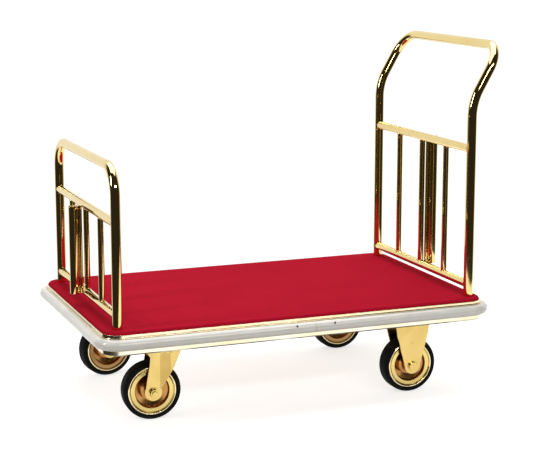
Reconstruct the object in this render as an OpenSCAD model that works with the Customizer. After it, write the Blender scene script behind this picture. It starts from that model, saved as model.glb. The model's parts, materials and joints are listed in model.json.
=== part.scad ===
// Hotel luggage cart: a carpeted platform on four casters, with a low hoop at
// one end and a taller push-handle hoop at the other.
// Millimetres. X runs along the cart with the handle at +X, Y across it, Z up.
// The origin is on the floor, under the middle of the cart's overall length.

/* [Deck] */
// Length of the carpeted deck
deck_l = 1040; // [700:10:1400]
// Width of the deck
deck_w = 644; // [450:2:900]
// Corner radius of the deck board
deck_r = 45; // [20:1:90]
// Thickness of the plywood board
board_t = 18; // [12:1:25]
// Thickness of the carpet and its underlay
carpet_t = 11; // [5:1:20]
// Radius rolled over the carpet's top edge
carpet_edge_r = 8; // [2:0.5:10]
// Wall of the skirt and of the trim above it
skirt_t = 3; // [1.5:0.5:6]
// How far the trim stands above the board
trim_above_board = 3; // [1:0.5:8]
// How deep the trim sits below the top of the board
trim_below_board = 6; // [2:0.5:12]
// How far the trim's foot stands out over the bumper
trim_foot = 3; // [1:0.5:8]

/* [Bumper] */
// Height of the bumper strip
bumper_h = 28; // [15:1:45]
// How far the bumper stands out from the skirt
bumper_out = 20; // [8:1:40]
// Where the butt joint sits along the near side, from the deck's middle
bumper_joint_x = 23; // [-200:1:200]
// Distance between the two joint screws
bumper_screw_gap = 104; // [30:1:200]

/* [Frame] */
// Height of the channels under the board
frame_h = 30; // [20:1:50]
// Width of a cross member that carries two casters
cross_w = 112; // [100:1:140]
// Wall of a cross member
cross_wall = 3; // [2:0.5:5]
// Width of a side rail
side_rail_w = 25; // [15:1:50]
// Distance of each side rail from the middle of the deck
side_rail_y = 190; // [80:1:250]

/* [Hoops] */
// Outside diameter of the hoop tube
tube_d = 25.4; // [19:0.1:38.1]
// Wall of all the tubes
tube_wall = 1.5; // [1:0.1:3]
// Distance from the deck's end to the low hoop's posts, on centres
low_inset = 39; // [25:1:80]
// Distance from the deck's other end to the handle hoop's posts
handle_inset = 30; // [25:1:80]
// Distance between the two posts of a hoop, on centres
hoop_w = 562; // [350:2:800]
// Height of the low hoop's top bar above the floor
low_hoop_z = 655; // [500:1:900]
// Height of the low hoop's mid rail
low_mid_z = 520; // [380:1:600]
// Height where the handle posts bend outwards
handle_bend_z = 777; // [700:1:900]
// Length of the leaning part of the handle
handle_lean_l = 166; // [150:1:240]
// Lean of the handle away from the deck, degrees from vertical
handle_lean = 30; // [10:1:45]
// Height of the handle hoop's mid rail
handle_mid_z = 653; // [480:1:680]
// Height of both bottom rails
low_rail_z = 289; // [285:1:360]
// Radius of the hoop corners, to the middle of the tube
corner_r = 70; // [50:1:120]
// Radius of the bend where the handle starts to lean
lean_r = 150; // [60:5:200]
// Diameter of the cross rails
rail_d = 22.2; // [16:0.1:25]
// Diameter of the spindles between the rails
spindle_d = 16; // [10:0.5:20]
// Diameter of the thin spacer tube behind the pole socket
spacer_d = 10; // [8:0.5:16]
// How far a post runs below the board
post_below = 8; // [6:1:20]

/* [Post flanges] */
// Diameter of the flange that holds a post under the board
flange_d = 56; // [50:1:60]
// Thickness of the flange
flange_t = 6; // [4:1:10]
// Flange screw diameter
flange_screw_d = 4; // [3:0.5:6]

/* [Casters] */
// Wheel diameter over the tyre
wheel_d = 150; // [100:1:160]
// Thickness of the tyre, rim to tread
tyre_t = 12.5; // [8:0.5:20]
// Wheel width over the tyre
wheel_w = 42; // [32:1:46]
// Height of a caster, floor to the top of its plate
caster_h = 200; // [196:1:240]
// Distance of the swivel axes from the deck's middle
swivel_x = 342; // [250:1:380]
// Distance of the fixed axles from the deck's middle
fixed_x = 335; // [250:1:380]
// Distance of the swivel axes from the middle line
swivel_y = 217; // [150:1:240]
// Distance of the fixed wheels from the middle line
fixed_y = 234; // [150:1:250]
// Trail of a swivel wheel, swivel axis to axle
trail = 37; // [25:1:45]
// How the near swivel wheel is turned at rest
near_turn = -4; // [-45:1:45]
// How the far swivel wheel is turned at rest
far_turn = 9; // [-45:1:45]
// Caster plate length
plate_l = 104; // [90:1:110]
// Caster plate width
plate_w = 100; // [96:1:110]
// Plate and fork sheet thickness
sheet_t = 4; // [2.5:0.5:5]
// Distance between the inside faces of the fork legs
fork_gap = 59; // [54:1:62]
// Angle of each fold of a swivel leg
fork_fold = 12; // [4:1:14]
// Width of a swivel leg's panel between its folds
fork_panel = 28; // [22:1:32]
// Width of a swivel leg's rear panel at the top
fork_wing = 33; // [24:1:36]
// Diameter of the pressed dimple on a fixed bracket
dimple_d = 8.6; // [5:0.2:12]
// Axle bolt diameter
axle_d = 12; // [10:1:14]
// Kingpin diameter
kingpin_d = 16; // [12:1:20]

/* [Fits] */
// Radial running fit of the wheels and of the kingpins
running = 0.05; // [0.02:0.01:0.09]
// Radial clearance of posts in the board and in the carpet
post_clear = 0.3; // [0.1:0.05:1]
// Gap between pieces that move past each other
moving_gap = 0.5; // [0.3:0.1:1.5]
// Radial clearance of bolts in their holes
bolt_clear = 0.1; // [0.05:0.05:0.5]
// Gap left by a welded or clamped line of contact
weld_gap = 0.02; // [0.01:0.01:0.05]

/* [Hidden] */
$fn = 48;
hl = deck_l / 2;
hw = deck_w / 2;
caster_top = caster_h;
board_z = caster_top + frame_h;
carpet_z = board_z + board_t;
carpet_top = carpet_z + carpet_t;
trim_z = carpet_z - trim_below_board;
trim_top = carpet_z + trim_above_board;
bumper_z = trim_z - bumper_h - 0.5;
tube_r = tube_d / 2;
rail_r = rail_d / 2;
spindle_r = spindle_d / 2;
spacer_r = spacer_d / 2;
post_y = hoop_w / 2;
low_x = -(hl - low_inset);
handle_x = hl - handle_inset;
post_foot = board_z - post_below;
spacer_out = rail_r + weld_gap + spacer_r;
socket_out = spacer_out + spacer_r + weld_gap + tube_r;
handle_run = handle_lean_l * sin(handle_lean);
handle_rise = handle_lean_l * cos(handle_lean);
handle_reach = handle_x + handle_run + tube_r;
bumper_reach = hl + skirt_t + bumper_out;
deck_x = -(handle_reach - bumper_reach) / 2;
wheel_r = wheel_d / 2;
rim_r = wheel_r - tyre_t;
rim_e = wheel_w / 2;
fork_out = fork_gap / 2 + sheet_t;
sleeve_r = axle_d / 2 + 2;
crown_z = caster_top - 24;
race_split = caster_top - 12;
kingpin_r = kingpin_d / 2;
plate_z = caster_top - sheet_t;
bolt_r = 4;
bolt_x = plate_l / 2 - 12;
bolt_y = plate_w / 2 - 8;
leg_r = 22;

brass = [0.88, 0.75, 0.42];
red = [0.70, 0.10, 0.16];
grey = [0.74, 0.73, 0.70];
black = [0.08, 0.08, 0.08];
wood = [0.72, 0.58, 0.40];
steel = [0.62, 0.63, 0.65];

// ---------- shared shapes ----------

module on_deck() {
  translate([deck_x, 0, 0]) children();
}

// Rounded rectangle of the deck's outline, grown by o on every side.
module deck_block(o, z, h) {
  a = hl + o;
  b = hw + o;
  r = deck_r + o;
  translate([-a + r, -b, z]) cube([2 * (a - r), 2 * b, h]);
  translate([-a, -b + r, z]) cube([2 * a, 2 * (b - r), h]);
  for (sx = [-1, 1]) {
    for (sy = [-1, 1]) {
      translate([sx * (a - r), sy * (b - r), z]) cylinder(r = r, h = h);
    }
  }
}

// Ring that follows the deck's outline, between offsets i and o.
module deck_ring(i, o, z, h) {
  difference() {
    deck_block(o, z, h);
    deck_block(i, z - 1, h + 2);
  }
}

// Where a hoop stands: end is -1 for the low hoop and 1 for the handle hoop.
function hoop_at(end) = end < 0 ? low_x : handle_x;

module at_posts(end) {
  for (sy = [-1, 1]) {
    translate([hoop_at(end), sy * post_y, 0]) children();
  }
}

module at_all_posts() {
  at_posts(-1) children();
  at_posts(1) children();
}

module flange_screw_places() {
  for (a = [30, 150, 270]) {
    rotate([0, 0, a]) translate([flange_d / 2 - 8, 0, 0]) children();
  }
}

// Box section with open ends, running along X.
module box_x(l, w, h, t) {
  difference() {
    translate([-l / 2, -w / 2, 0]) cube([l, w, h]);
    translate([-l / 2 - 1, -w / 2 + t, t]) cube([l + 2, w - 2 * t, h - 2 * t]);
  }
}

// ---------- deck ----------

module deck_board() {
  color(wood) on_deck() difference() {
    deck_block(0, board_z, board_t);
    at_all_posts() {
      translate([0, 0, board_z - 1]) cylinder(r = tube_r + post_clear, h = board_t + 2);
      flange_screw_places() translate([0, 0, board_z - 1]) cylinder(d = flange_screw_d, h = 13);
    }
  }
}

// One corner post of the carpet: upright side, rolled top edge.
module carpet_corner() {
  n = 8;
  e = carpet_edge_r;
  rotate_extrude() polygon(concat(
    [[0, 0], [deck_r, 0]],
    [for (i = [0:n]) [deck_r - e + e * cos(90 * i / n), carpet_t - e + e * sin(90 * i / n)]],
    [[0, carpet_t]]
  ));
}

module carpet() {
  color(red) on_deck() difference() {
    hull() {
      for (sx = [-1, 1]) {
        for (sy = [-1, 1]) {
          translate([sx * (hl - deck_r), sy * (hw - deck_r), carpet_z]) carpet_corner();
        }
      }
    }
    at_all_posts() translate([0, 0, carpet_z - 1]) cylinder(r = tube_r + post_clear, h = carpet_t + 2);
  }
}

// Edge strip: an upright wall round the board with a small foot over the bumper.
module deck_trim() {
  color(brass) on_deck() {
    deck_ring(0, skirt_t, trim_z, trim_top - trim_z);
    deck_ring(skirt_t - 0.5, skirt_t + trim_foot, trim_z, 2);
  }
}

module frame_skirt() {
  color(brass) on_deck() deck_ring(0, skirt_t, caster_top, trim_z - caster_top);
}

// Bumper section in the plane of x = how far out, y = how far up.
function bumper_section() = concat(
  [[0, 0], [bumper_out - bumper_h / 2, 0]],
  [for (i = [1:11]) [
    bumper_out - bumper_h / 2 + bumper_h / 2 * cos(-90 + 15 * i),
    bumper_h / 2 + bumper_h / 2 * sin(-90 + 15 * i)
  ]],
  [[bumper_out - bumper_h / 2, bumper_h], [0, bumper_h]]
);

module bumper_side(l) {
  rotate([90, 0, 90]) translate([0, 0, -l / 2]) linear_extrude(l) polygon(bumper_section());
}

module bumper() {
  r = deck_r + skirt_t;
  color(grey) on_deck() translate([0, 0, bumper_z]) difference() {
    union() {
      for (s = [0, 180]) {
        rotate([0, 0, s]) translate([0, hw + skirt_t, 0]) bumper_side(deck_l - 2 * deck_r);
        rotate([0, 0, s + 90]) translate([0, hl + skirt_t, 0]) bumper_side(deck_w - 2 * deck_r);
      }
      for (q = [[1, 1, 0], [-1, 1, 90], [-1, -1, 180], [1, -1, 270]]) {
        translate([q[0] * (hl - deck_r), q[1] * (hw - deck_r), 0]) rotate([0, 0, q[2]])
          rotate_extrude(angle = 90) translate([r, 0]) polygon(bumper_section());
      }
    }
    translate([bumper_joint_x - 0.4, -hw - skirt_t - bumper_out - 1, -1])
      cube([0.8, bumper_out + 2, bumper_h + 2]);
    for (s = [-1, 1]) {
      translate([bumper_joint_x + s * bumper_screw_gap / 2, -hw - skirt_t + 1, bumper_h / 2 + 8])
        rotate([90, 0, 0]) cylinder(r = 3, h = bumper_out + 2);
    }
  }
}

module bumper_screws() {
  color(steel) on_deck() for (s = [-1, 1]) {
    translate([bumper_joint_x + s * bumper_screw_gap / 2, -hw - skirt_t, bumper_z + bumper_h / 2 + 8])
      rotate([90, 0, 0]) cylinder(r = 3, h = bumper_out - 4.2);
  }
}

// ---------- frame under the board ----------

module cross_member(x) {
  color(steel) on_deck() difference() {
    translate([x, 0, caster_top]) rotate([0, 0, 90]) box_x(deck_w, cross_w, frame_h, cross_wall);
    children();
  }
}

module caster_bolt_places(x, y) {
  for (sy = [-1, 1]) {
    for (i = [-1, 1]) {
      for (j = [-1, 1]) {
        translate([x + i * bolt_x, sy * y + j * bolt_y, 0]) children();
      }
    }
  }
}

module cross_member_swivel() {
  cross_member(-swivel_x) {
    caster_bolt_places(-swivel_x, swivel_y)
      translate([0, 0, caster_top - 1]) cylinder(r = bolt_r + bolt_clear, h = cross_wall + 2);
  }
}

module cross_member_fixed() {
  cross_member(fixed_x) {
    caster_bolt_places(fixed_x, fixed_y)
      translate([0, 0, caster_top - 1]) cylinder(r = bolt_r + bolt_clear, h = cross_wall + 2);
  }
}

module side_rail(s) {
  l = fixed_x + swivel_x - cross_w;
  color(steel) on_deck()
    translate([(fixed_x - swivel_x) / 2, s * side_rail_y, caster_top])
      box_x(l, side_rail_w, frame_h, 2);
}

module side_rail_near() {
  side_rail(-1);
}

module side_rail_far() {
  side_rail(1);
}

// ---------- hoops ----------

// Upright and corner bend and half the top bar of a plain hoop, one side.
module plain_hoop_path(r, top, foot) {
  for (s = [-1, 1]) {
    translate([0, s * post_y, foot]) cylinder(r = r, h = top - corner_r - foot);
    translate([0, s * (post_y - corner_r), top - corner_r])
      rotate([90, 0, s > 0 ? 90 : 270]) rotate_extrude(angle = 90)
        translate([corner_r, 0]) circle(r = r);
  }
  translate([0, -post_y + corner_r, top]) rotate([-90, 0, 0])
    cylinder(r = r, h = 2 * (post_y - corner_r));
}

module hoop_low() {
  color(brass) on_deck() translate([low_x, 0, 0]) difference() {
    plain_hoop_path(tube_r, low_hoop_z, post_foot);
    plain_hoop_path(tube_r - tube_wall, low_hoop_z, post_foot - 1);
  }
}

// The handle hoop's middle line, as rings of [centre, first axis, second axis]:
// up the near post, through the leaning bend, round the top and down again.
function lean_up() = [sin(handle_lean), 0, cos(handle_lean)];

function side_rings(y, m, steps) = [
  for (i = steps) let (f = handle_lean * i / 8) [
    [lean_r * (1 - cos(f)), y, handle_bend_z - lean_r * tan(handle_lean / 2) + lean_r * sin(f)],
    [cos(f), 0, -sin(f)],
    [0, m, 0]
  ]
];

function corner_rings(y, from) = [
  for (i = [0:12]) let (f = from + 90 * i / 12, up = lean_up()) [
    [0, y, handle_bend_z] + (handle_lean_l - corner_r) * up
      + corner_r * (sin(f) * up - cos(f) * [0, 1, 0]),
    [cos(handle_lean), 0, -sin(handle_lean)],
    cos(f) * [0, 1, 0] - sin(f) * up
  ]
];

function handle_rings() = concat(
  [[[0, -post_y, post_foot], [1, 0, 0], [0, 1, 0]]],
  side_rings(-post_y, 1, [0:8]),
  corner_rings(-post_y + corner_r, 0),
  corner_rings(post_y - corner_r, 90),
  side_rings(post_y, -1, [8:-1:0]),
  [[[0, post_y, post_foot], [1, 0, 0], [0, -1, 0]]]
);

module hoop_handle() {
  n = 32;
  rings = handle_rings();
  m = len(rings);
  points = [
    for (r = [tube_r, tube_r - tube_wall]) for (q = rings) for (j = [0:n - 1])
      q[0] + r * (cos(360 * j / n) * q[1] + sin(360 * j / n) * q[2])
  ];
  skins = [
    for (k = [0, 1]) for (i = [0:m - 2]) for (j = [0:n - 1])
      let (a = (k * m + i) * n + j, b = (k * m + i) * n + (j + 1) % n)
      each k == 0 ? [[a, a + n, b + n], [a, b + n, b]] : [[a, b + n, a + n], [a, b, b + n]]
  ];
  ends = [
    for (i = [0, m - 1]) for (j = [0:n - 1])
      let (a = i * n + j, b = i * n + (j + 1) % n, c = m * n)
      each i == 0 ? [[a, b, b + c], [a, b + c, a + c]] : [[a, b + c, b], [a, a + c, b + c]]
  ];
  color(brass) on_deck() translate([handle_x, 0, 0])
    polyhedron(points = points, faces = concat(skins, ends));
}

// Cross rail between two posts, its ends cut to sit on them.
module cross_rail(end, z) {
  color(brass) on_deck() translate([hoop_at(end), 0, z]) difference() {
    translate([0, -post_y, 0]) rotate([-90, 0, 0]) cylinder(r = rail_r, h = 2 * post_y);
    translate([0, -post_y - 1, 0]) rotate([-90, 0, 0])
      cylinder(r = rail_r - tube_wall, h = 2 * post_y + 2);
    for (s = [-1, 1]) {
      translate([0, s * post_y, -rail_d]) cylinder(r = tube_r + weld_gap, h = 2 * rail_d);
    }
  }
}

module mid_rail_low() {
  cross_rail(-1, low_mid_z);
}

module bottom_rail_low() {
  cross_rail(-1, low_rail_z);
}

module mid_rail_handle() {
  cross_rail(1, handle_mid_z);
}

module bottom_rail_handle() {
  cross_rail(1, low_rail_z);
}

// Upright between the two rails, its ends cut to sit on them.
module spindle(end, k, top) {
  color(brass) on_deck() translate([hoop_at(end), k * post_y / 2, 0]) difference() {
    translate([0, 0, low_rail_z]) cylinder(r = spindle_r, h = top - low_rail_z);
    translate([0, 0, low_rail_z - 1]) cylinder(r = spindle_r - tube_wall, h = top - low_rail_z + 2);
    for (z = [low_rail_z, top]) {
      translate([0, -spindle_d, z]) rotate([-90, 0, 0])
        cylinder(r = rail_r + weld_gap, h = 2 * spindle_d);
    }
  }
}

module spindle_low_near() {
  spindle(-1, -1, low_mid_z);
}

module spindle_low_middle() {
  spindle(-1, 0, low_mid_z);
}

module spindle_low_far() {
  spindle(-1, 1, low_mid_z);
}

module spindle_handle_near() {
  spindle(1, -1, handle_mid_z);
}

module spindle_handle_middle() {
  spindle(1, 0, handle_mid_z);
}

module spindle_handle_far() {
  spindle(1, 1, handle_mid_z);
}

// Open-topped tube outside the hoop, closed at its foot, for a loose pole.
module pole_socket(end, top) {
  color(brass) on_deck() translate([hoop_at(end) + end * socket_out, 0, low_rail_z]) difference() {
    cylinder(r = tube_r, h = top - low_rail_z);
    translate([0, 0, 3]) cylinder(r = tube_r - tube_wall, h = top - low_rail_z);
  }
}

module pole_socket_low() {
  pole_socket(-1, low_mid_z);
}

module pole_socket_handle() {
  pole_socket(1, handle_mid_z);
}

// Thin tube welded between the rails and the pole socket.
module spacer_tube(end, top) {
  color(brass) on_deck() translate([hoop_at(end) + end * spacer_out, 0, low_rail_z]) difference() {
    cylinder(r = spacer_r, h = top - low_rail_z);
    translate([0, 0, -1]) cylinder(r = spacer_r - tube_wall, h = top - low_rail_z + 2);
  }
}

module spacer_tube_low() {
  spacer_tube(-1, low_mid_z);
}

module spacer_tube_handle() {
  spacer_tube(1, handle_mid_z);
}

// ---------- post flanges ----------

module post_flanges(end) {
  color(steel) on_deck() at_posts(end) translate([0, 0, board_z - flange_t]) difference() {
    cylinder(d = flange_d, h = flange_t);
    translate([0, 0, -1]) cylinder(r = tube_r + weld_gap, h = flange_t + 2);
    flange_screw_places() translate([0, 0, -1]) cylinder(d = flange_screw_d, h = flange_t + 2);
  }
}

module post_flanges_low() {
  post_flanges(-1);
}

module post_flanges_handle() {
  post_flanges(1);
}

module flange_screws() {
  color(steel) on_deck() at_all_posts() flange_screw_places() {
    translate([0, 0, board_z - flange_t - 2.5]) cylinder(d = 2 * flange_screw_d, h = 2.5);
    translate([0, 0, board_z - flange_t - 0.5]) cylinder(d = flange_screw_d, h = flange_t + 12);
  }
}

// ---------- casters ----------

module caster_bolt() {
  translate([0, 0, plate_z - 5]) cylinder(r = 7, h = 5, $fn = 6);
  translate([0, 0, plate_z - 1]) cylinder(r = bolt_r, h = sheet_t + cross_wall + 9);
  translate([0, 0, caster_top + cross_wall]) cylinder(r = 7, h = 6.5, $fn = 6);
}

module caster_bolts() {
  color(steel) on_deck() {
    caster_bolt_places(-swivel_x, swivel_y) caster_bolt();
    caster_bolt_places(fixed_x, fixed_y) caster_bolt();
  }
}

module plate_holes() {
  for (i = [-1, 1]) {
    for (j = [-1, 1]) {
      translate([i * bolt_x, j * bolt_y, plate_z - 1])
        cylinder(r = bolt_r + bolt_clear, h = sheet_t + 2);
    }
  }
}

// Places a caster's parts: s is -1 for the near side and 1 for the far side.
module at_swivel(s) {
  on_deck() translate([-swivel_x, s * swivel_y, 0]) rotate([0, 0, s < 0 ? near_turn : far_turn])
    children();
}

module at_swivel_wheel(s) {
  at_swivel(s) translate([-trail, 0, wheel_r]) children();
}

module at_fixed_wheel(s) {
  on_deck() translate([fixed_x, s * fixed_y, wheel_r]) children();
}

module swivel_plate(s) {
  color(brass) on_deck() translate([-swivel_x, s * swivel_y, 0]) difference() {
    union() {
      translate([-plate_l / 2, -plate_w / 2, plate_z]) cube([plate_l, plate_w, sheet_t]);
      translate([0, 0, race_split + moving_gap]) cylinder(r = 30, h = plate_z - race_split);
    }
    translate([0, 0, race_split - 1]) cylinder(r = kingpin_r, h = 20);
    plate_holes();
  }
}

module swivel_plate_near() {
  swivel_plate(-1);
}

module swivel_plate_far() {
  swivel_plate(1);
}

// Riveted pin through the plate, with the nut that carries the fork.
module kingpin(s) {
  color(steel) on_deck() translate([-swivel_x, s * swivel_y, 0]) {
    translate([0, 0, crown_z - 12]) cylinder(r = kingpin_r, h = caster_top - crown_z + 12);
    translate([0, 0, crown_z - moving_gap - 8]) cylinder(r = 14, h = 8, $fn = 6);
  }
}

module kingpin_near() {
  kingpin(-1);
}

module kingpin_far() {
  kingpin(1);
}

// Flat part of a swivel leg, drawn in X and Z with the axle at [-trail, wheel_r].
module leg_sheet(points, y) {
  translate([0, y + sheet_t, 0]) rotate([90, 0, 0]) linear_extrude(sheet_t) polygon(points);
}

module fork_leg() {
  ax = -trail;
  az = wheel_r;
  y = fork_gap / 2;
  difference() {
    union() {
      leg_sheet([
        [ax - leg_r + 2, az + 6], [ax + leg_r, az - 2], [ax + leg_r - 3, az + 12],
        [ax + 20, crown_z + sheet_t], [ax - 16, crown_z + sheet_t], [ax - 6, crown_z - 12]
      ], y);
      translate([ax, y + sheet_t, az]) rotate([90, 0, 0]) cylinder(r = leg_r, h = sheet_t);
      translate([ax + 19, y, 0]) rotate([0, 0, -fork_fold]) {
        leg_sheet([
          [-2, az + 9], [3, az + 11], [fork_panel, az + 47], [fork_panel, crown_z + sheet_t],
          [-2, crown_z + sheet_t]
        ], 0);
        translate([fork_panel, 0, 0]) rotate([0, 0, -fork_fold]) leg_sheet([
          [-2, az + 44], [0, az + 47], [11, crown_z - 38], [fork_wing, crown_z],
          [fork_wing, crown_z + sheet_t], [-2, crown_z + sheet_t]
        ], 0);
      }
    }
    translate([ax, y - 5, az]) rotate([-90, 0, 0]) cylinder(r = axle_d / 2 + bolt_clear, h = 20);
  }
}

module swivel_fork(s) {
  color(brass) at_swivel(s) difference() {
    union() {
      fork_leg();
      mirror([0, 1, 0]) fork_leg();
      translate([-trail - 16, -fork_out, crown_z]) cube([trail + 16, 2 * fork_out, sheet_t]);
      translate([0, 0, crown_z]) cylinder(r = 40, h = sheet_t);
      translate([0, 0, crown_z + 1]) cylinder(r = 33, h = race_split - crown_z - 1);
    }
    translate([0, 0, crown_z - 1]) cylinder(r = kingpin_r + running, h = 30);
  }
}

module swivel_fork_near() {
  swivel_fork(-1);
}

module swivel_fork_far() {
  swivel_fork(1);
}

// Axle bolt with its head and washer on side h of the wheel.
module axle_bolt(h) {
  scale([1, h, 1]) {
    translate([0, fork_out, 0]) rotate([-90, 0, 0]) cylinder(r = 13, h = 2);
    translate([0, fork_out + 1, 0]) rotate([-90, 0, 0]) cylinder(r = 11, h = 6.5);
    translate([0, -fork_out - 15, 0]) rotate([-90, 0, 0])
      cylinder(d = axle_d, h = 2 * fork_out + 16);
  }
}

// Nut and washer on side h.
module axle_nut(h) {
  scale([1, h, 1]) difference() {
    union() {
      translate([0, fork_out, 0]) rotate([-90, 0, 0]) cylinder(r = 13, h = 2);
      translate([0, fork_out + 1, 0]) rotate([-90, 0, 0]) cylinder(r = 10.5, h = 10, $fn = 6);
    }
    translate([0, fork_out - 1, 0]) rotate([-90, 0, 0]) cylinder(d = axle_d + 0.1, h = 20);
  }
}

module sleeve() {
  translate([0, -fork_gap / 2, 0]) rotate([-90, 0, 0]) difference() {
    cylinder(r = sleeve_r, h = fork_gap);
    translate([0, 0, -1]) cylinder(r = axle_d / 2 + bolt_clear, h = fork_gap + 2);
  }
}

// Half of the rim's section, r against distance from the wheel's middle plane.
function rim_half(k) = [
  [sleeve_r + running, k * (fork_gap / 2 - 1)],
  [18, k * (fork_gap / 2 - 1)],
  [19, k * (fork_gap / 2 - 2)],
  [20, k * 8],
  [27, k * 6],
  [rim_r - 20, k * 9],
  [rim_r - 18, k * (rim_e - 3)],
  [rim_r - 17, k * (rim_e - 2.4)],
  [rim_r - 7.5, k * (rim_e - 3.4)],
  [rim_r - 6.5, k * (rim_e - 5.5)],
  [rim_r - 5, k * (rim_e - 5.5)],
  [rim_r - 4, k * (rim_e - 1.4)],
  [rim_r - 1.5, k * (rim_e - 0.6)],
  [rim_r, k * (rim_e - 1.4)],
  [rim_r, k * (rim_e - 3)],
  [rim_r - 2, k * (rim_e - 3)]
];

module rim() {
  rotate([90, 0, 0]) rotate_extrude($fn = 96) polygon(concat(
    rim_half(1),
    [for (i = [len(rim_half(-1)) - 1:-1:0]) rim_half(-1)[i]]
  ));
}

// Half of the tyre's section, seated in the rim's bed.
function tyre_half(k) = [
  [rim_r - 2, k * (rim_e - 3.05)],
  [rim_r + 0.05, k * (rim_e - 3.05)],
  [rim_r + 0.3, k * (rim_e - 2.8)],
  [rim_r + 1.1, k * (rim_e - 1.4)],
  [rim_r + 2.8, k * rim_e],
  [rim_r + 6.8, k * (rim_e - 0.7)],
  [wheel_r - 1.6, k * (rim_e - 3)],
  [wheel_r - 0.4, k * (rim_e - 6)],
  [wheel_r, k * (rim_e - 9)]
];

module tyre() {
  rotate([90, 0, 0]) rotate_extrude($fn = 96) polygon(concat(
    tyre_half(1),
    [for (i = [len(tyre_half(-1)) - 1:-1:0]) tyre_half(-1)[i]]
  ));
}

module swivel_axle_near() {
  color(brass) at_swivel_wheel(-1) axle_bolt(1);
}

module swivel_nut_near() {
  color(brass) at_swivel_wheel(-1) axle_nut(-1);
}

module swivel_sleeve_near() {
  color(steel) at_swivel_wheel(-1) sleeve();
}

module swivel_rim_near() {
  color(brass) at_swivel_wheel(-1) rim();
}

module swivel_tyre_near() {
  color(black) at_swivel_wheel(-1) tyre();
}

module swivel_axle_far() {
  color(brass) at_swivel_wheel(1) axle_bolt(-1);
}

module swivel_nut_far() {
  color(brass) at_swivel_wheel(1) axle_nut(1);
}

module swivel_sleeve_far() {
  color(steel) at_swivel_wheel(1) sleeve();
}

module swivel_rim_far() {
  color(brass) at_swivel_wheel(1) rim();
}

module swivel_tyre_far() {
  color(black) at_swivel_wheel(1) tyre();
}

// Fixed bracket: top plate and two tapered legs with a pressed dimple.
module fixed_bracket(s) {
  h = caster_top - wheel_r;
  w = plate_l / 2 - 2;
  color(brass) at_fixed_wheel(s) difference() {
    union() {
      translate([-plate_l / 2, -plate_w / 2, plate_z - wheel_r]) cube([plate_l, plate_w, sheet_t]);
      for (m = [-1, 1]) {
        scale([1, m, 1]) {
          leg_sheet([
            [-leg_r + 1, -6], [leg_r - 1, -6], [leg_r + 2, 8], [w - 6, h - 42],
            [w, h - 1], [-w, h - 1], [-w + 6, h - 42], [-leg_r - 2, 8]
          ], fork_gap / 2);
          translate([0, fork_out, 0]) rotate([90, 0, 0]) cylinder(r = leg_r, h = sheet_t);
          translate([0, fork_out - 1, 62]) rotate([-90, 0, 0]) cylinder(d = dimple_d, h = 2.2);
        }
      }
    }
    translate([0, -fork_out - 1, 0]) rotate([-90, 0, 0])
      cylinder(r = axle_d / 2 + bolt_clear, h = 2 * fork_out + 2);
    translate([0, 0, -wheel_r]) plate_holes();
  }
}

module fixed_bracket_near() {
  fixed_bracket(-1);
}

module fixed_bracket_far() {
  fixed_bracket(1);
}

module fixed_axle_near() {
  color(brass) at_fixed_wheel(-1) axle_bolt(-1);
}

module fixed_nut_near() {
  color(brass) at_fixed_wheel(-1) axle_nut(1);
}

module fixed_sleeve_near() {
  color(steel) at_fixed_wheel(-1) sleeve();
}

module fixed_rim_near() {
  color(brass) at_fixed_wheel(-1) rim();
}

module fixed_tyre_near() {
  color(black) at_fixed_wheel(-1) tyre();
}

module fixed_axle_far() {
  color(brass) at_fixed_wheel(1) axle_bolt(1);
}

module fixed_nut_far() {
  color(brass) at_fixed_wheel(1) axle_nut(-1);
}

module fixed_sleeve_far() {
  color(steel) at_fixed_wheel(1) sleeve();
}

module fixed_rim_far() {
  color(brass) at_fixed_wheel(1) rim();
}

module fixed_tyre_far() {
  color(black) at_fixed_wheel(1) tyre();
}

deck_board();
carpet();
deck_trim();
frame_skirt();
bumper();
bumper_screws();
cross_member_swivel();
cross_member_fixed();
side_rail_near();
side_rail_far();
hoop_low();
mid_rail_low();
bottom_rail_low();
spindle_low_near();
spindle_low_middle();
spindle_low_far();
pole_socket_low();
spacer_tube_low();
hoop_handle();
mid_rail_handle();
bottom_rail_handle();
spindle_handle_near();
spindle_handle_middle();
spindle_handle_far();
pole_socket_handle();
spacer_tube_handle();
post_flanges_low();
post_flanges_handle();
flange_screws();
caster_bolts();
swivel_plate_near();
kingpin_near();
swivel_fork_near();
swivel_axle_near();
swivel_nut_near();
swivel_sleeve_near();
swivel_rim_near();
swivel_tyre_near();
swivel_plate_far();
kingpin_far();
swivel_fork_far();
swivel_axle_far();
swivel_nut_far();
swivel_sleeve_far();
swivel_rim_far();
swivel_tyre_far();
fixed_bracket_near();
fixed_axle_near();
fixed_nut_near();
fixed_sleeve_near();
fixed_rim_near();
fixed_tyre_near();
fixed_bracket_far();
fixed_axle_far();
fixed_nut_far();
fixed_sleeve_far();
fixed_rim_far();
fixed_tyre_far();
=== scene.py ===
"""Hotel luggage cart: its finishes and fine shapes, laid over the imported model. Metres."""
import json
import math

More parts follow.
